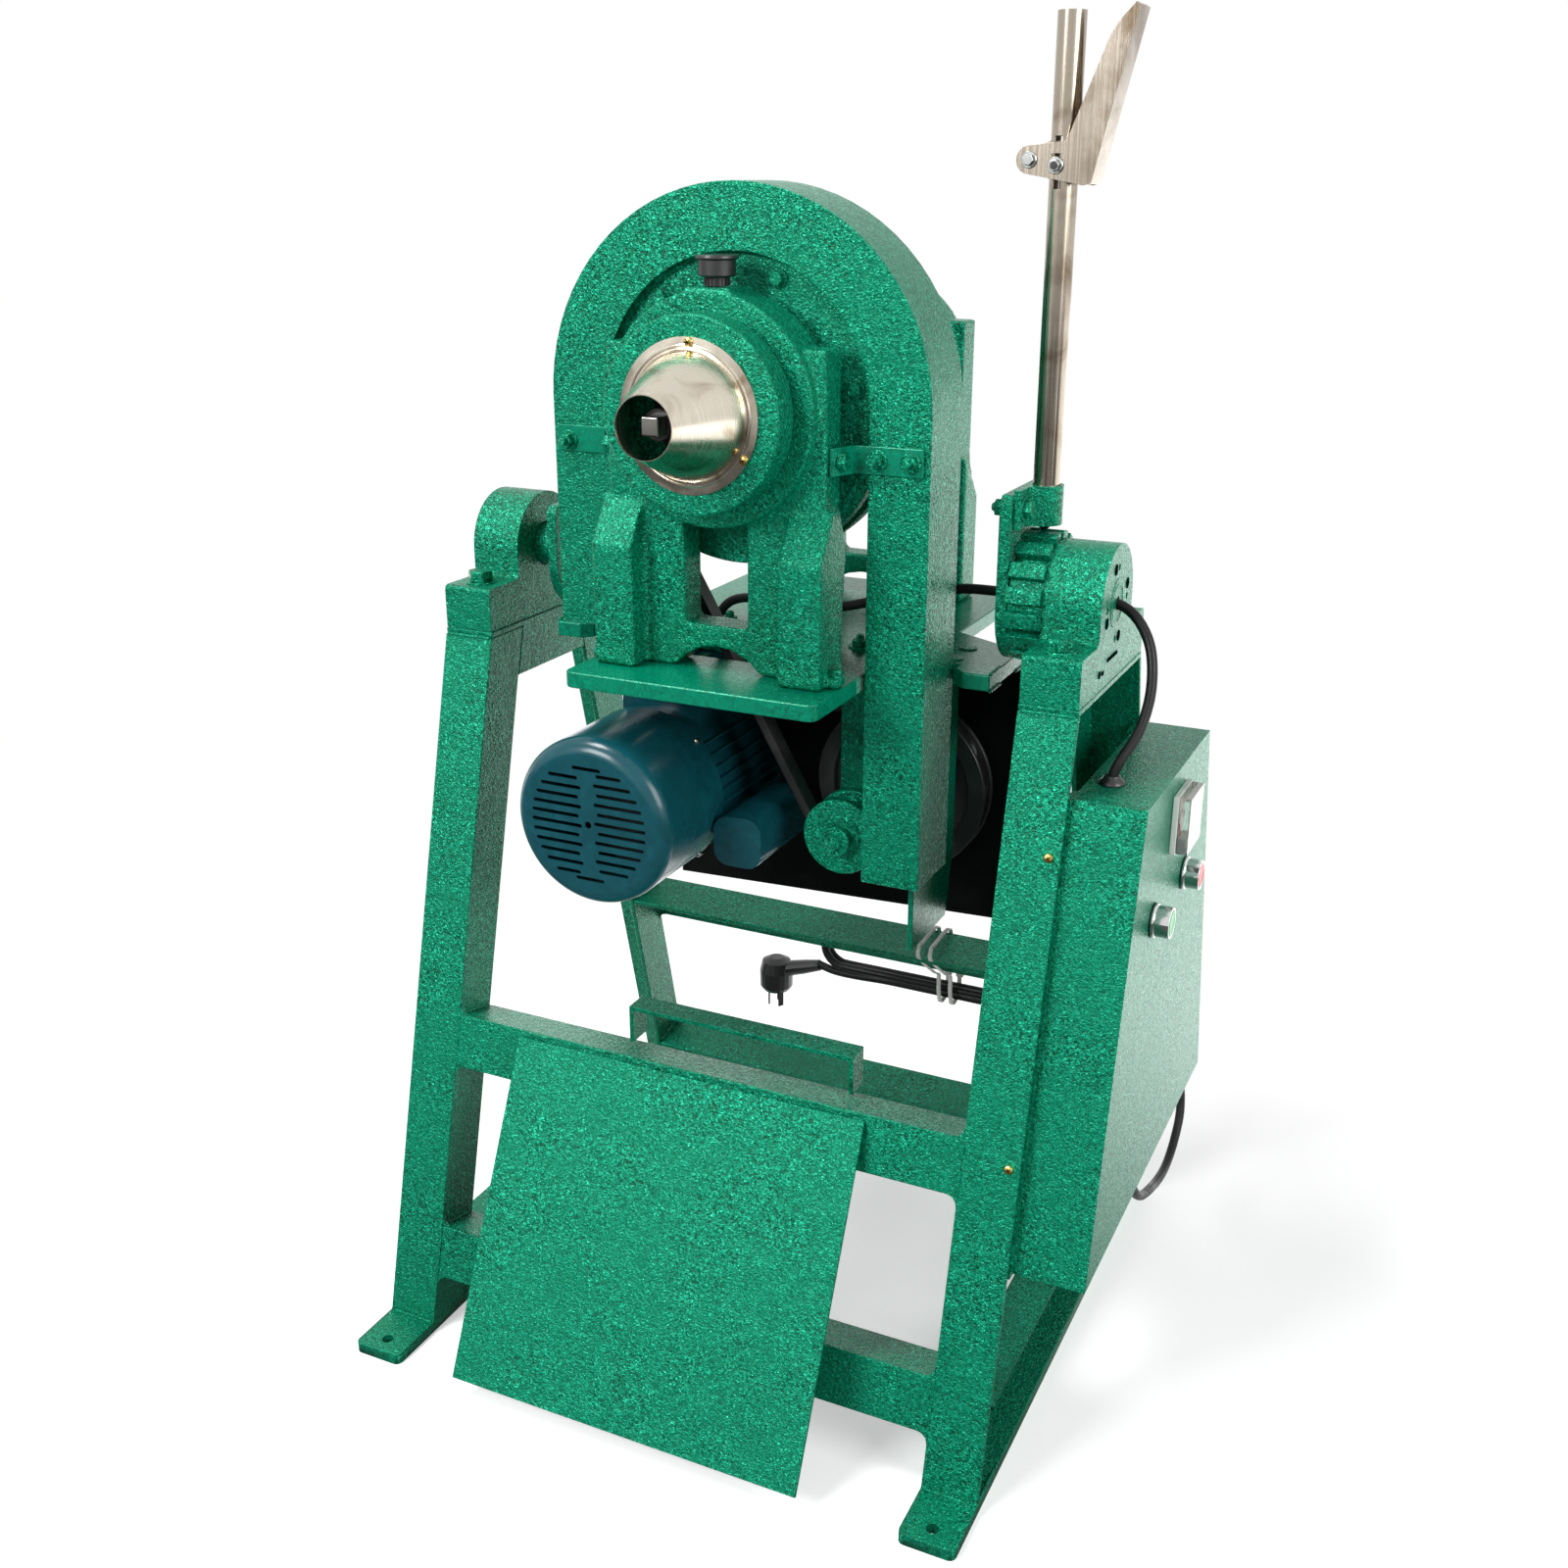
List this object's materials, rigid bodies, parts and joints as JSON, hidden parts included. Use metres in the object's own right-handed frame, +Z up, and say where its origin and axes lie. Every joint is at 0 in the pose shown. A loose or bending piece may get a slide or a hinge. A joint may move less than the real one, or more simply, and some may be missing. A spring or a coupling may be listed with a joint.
{
  "type": "tilting conical ball mill",
  "caption": "Belt-driven grinding drum with a steel feed cone, carried on a lockable tilting table in an angle-steel stand with a control box and a discharge apron.",
  "frame": {"origin": "on the floor under the middle of the machine, cord left out", "axes": "+Z up, -Y towards the operator and the discharge apron, +X towards the control box"},
  "size_m": [0.6786, 0.639, 1.166],
  "materials": {
    "hammered_green": "gloss",
    "motor_blue": "gloss",
    "stainless": "satin",
    "bright_steel": "satin",
    "dark_steel": "satin",
    "chrome": "polished",
    "black_rubber": "satin",
    "belt_rubber": "matte",
    "black_plastic": "satin",
    "white_plastic": "gloss",
    "red_plastic": "gloss",
    "green_plastic": "gloss",
    "brass": "satin",
    "clear_cover": "gloss"
  },
  "bodies": {
    "stand": {"leg_front_left": "hammered_green", "leg_front_right": "hammered_green", "leg_rear_left": "hammered_green", "leg_rear_right": "hammered_green", "crossbar_front_upper": "hammered_green", "crossbar_front_lower": "hammered_green", "crossbar_rear_upper": "hammered_green", "crossbar_rear_lower": "hammered_green", "top_rail_left": "hammered_green", "top_rail_right": "hammered_green", "floor_runner_left": "hammered_green", "floor_runner_right": "hammered_green", "bearing_block_left": "hammered_green", "bearing_block_right": "hammered_green", "index_ring": "hammered_green", "discharge_apron": "hammered_green", "tray_bracket": "hammered_green", "control_box": "hammered_green", "control_panel": "bright_steel", "ammeter": "white_plastic", "stop_bezel": "chrome", "start_bezel": "chrome", "lead_grommet": "black_rubber", "mains_gland": "black_rubber", "control_lead": "black_rubber", "mains_cord": "black_rubber", "cord_hank": "black_rubber", "mains_plug": "black_plastic"},
    "stop_push": {"stop_button": "red_plastic"},
    "start_push": {"start_button": "green_plastic"},
    "needle": {"ammeter_needle": "red_plastic"},
    "tilt_table": {"table_plate": "hammered_green", "swing_plate_left": "hammered_green", "swing_plate_right": "hammered_green", "front_housing": "hammered_green", "rear_housing": "hammered_green", "belt_guard": "hammered_green", "guard_strap_left": "hammered_green", "guard_strap_right": "hammered_green", "hanger_plate": "hammered_green", "counter_bearing": "hammered_green", "motor": "motor_blue", "motor_fan_cover": "motor_blue", "handle_tube": "stainless", "handle_clamp": "hammered_green", "drum_belt": "belt_rubber", "motor_belt": "belt_rubber", "motor_lead": "black_rubber"},
    "grease_cap": {"grease_cup": "black_plastic"},
    "lever": {"squeeze_lever": "stainless"},
    "lock": {"lock_pin": "dark_steel"},
    "drum": {"drum_shell": "hammered_green", "drum_sheave": "hammered_green", "nose_ring": "hammered_green", "feed_cone": "stainless"},
    "stopper": {"mouth_plug": "dark_steel"},
    "counter": {"countershaft": "bright_steel", "small_sheave": "hammered_green", "large_sheave": "hammered_green"},
    "rotor": {"motor_rotor": "bright_steel"}
  },
  "joints": [
    {"name": "tilt", "type": "hinge", "parent": "stand", "child": "tilt_table", "pos_m": [-0.0393, 0.0055, 0.72], "axis": [1, 0, 0], "range_deg": [-22.5, 67.5]},
    {"name": "drum_spin", "type": "hinge", "parent": "tilt_table", "child": "drum", "pos_m": [-0.0393, 0.0055, 0.873], "axis": [0, 1, 0], "continuous": true},
    {"name": "stopper_slide", "type": "slide", "parent": "drum", "child": "stopper", "axis": [0, -1, 0], "range_m": [0, 0.12]},
    {"name": "counter_spin", "type": "hinge", "parent": "tilt_table", "child": "counter", "pos_m": [0.0537, 0.0055, 0.51], "axis": [0, 1, 0], "continuous": true},
    {"name": "motor_spin", "type": "hinge", "parent": "tilt_table", "child": "rotor", "pos_m": [-0.1293, 0.0055, 0.53], "axis": [0, 1, 0], "continuous": true},
    {"name": "squeeze", "type": "hinge", "parent": "tilt_table", "child": "lever", "pos_m": [0.1717, 0.0055, 1.059], "axis": [0, -1, 0], "range_deg": [0, 18], "stiffness_Nm_per_rad": 1.5, "springref_deg": -8.59},
    {"name": "lock_lift", "type": "slide", "parent": "tilt_table", "child": "lock", "axis": [0, 0, 1], "range_m": [0, 0.0066]},
    {"name": "grease_turn", "type": "hinge", "parent": "tilt_table", "child": "grease_cap", "pos_m": [-0.0393, -0.1195, 0.967], "axis": [0, 0, 1], "continuous": true},
    {"name": "stop_press", "type": "slide", "parent": "stand", "child": "stop_push", "axis": [-1, 0, 0], "range_m": [0, 0.003], "stiffness_N_per_m": 300, "springref_m": -0.002},
    {"name": "start_press", "type": "slide", "parent": "stand", "child": "start_push", "axis": [-1, 0, 0], "range_m": [0, 0.003], "stiffness_N_per_m": 300, "springref_m": -0.002},
    {"name": "needle_swing", "type": "hinge", "parent": "stand", "child": "needle", "pos_m": [0.3287, 0.013, 0.5255], "axis": [-1, 0, 0], "range_deg": [0, 96], "stiffness_Nm_per_rad": 0.001, "springref_deg": -5.73}
  ],
  "couplings": [
    {"joint": "counter_spin", "follows": "drum_spin", "ratio": 5.0741},
    {"joint": "motor_spin", "follows": "drum_spin", "ratio": 14.583},
    {"joint": "lock_lift", "follows": "squeeze", "m_per_rad": 0.021}
  ]
}
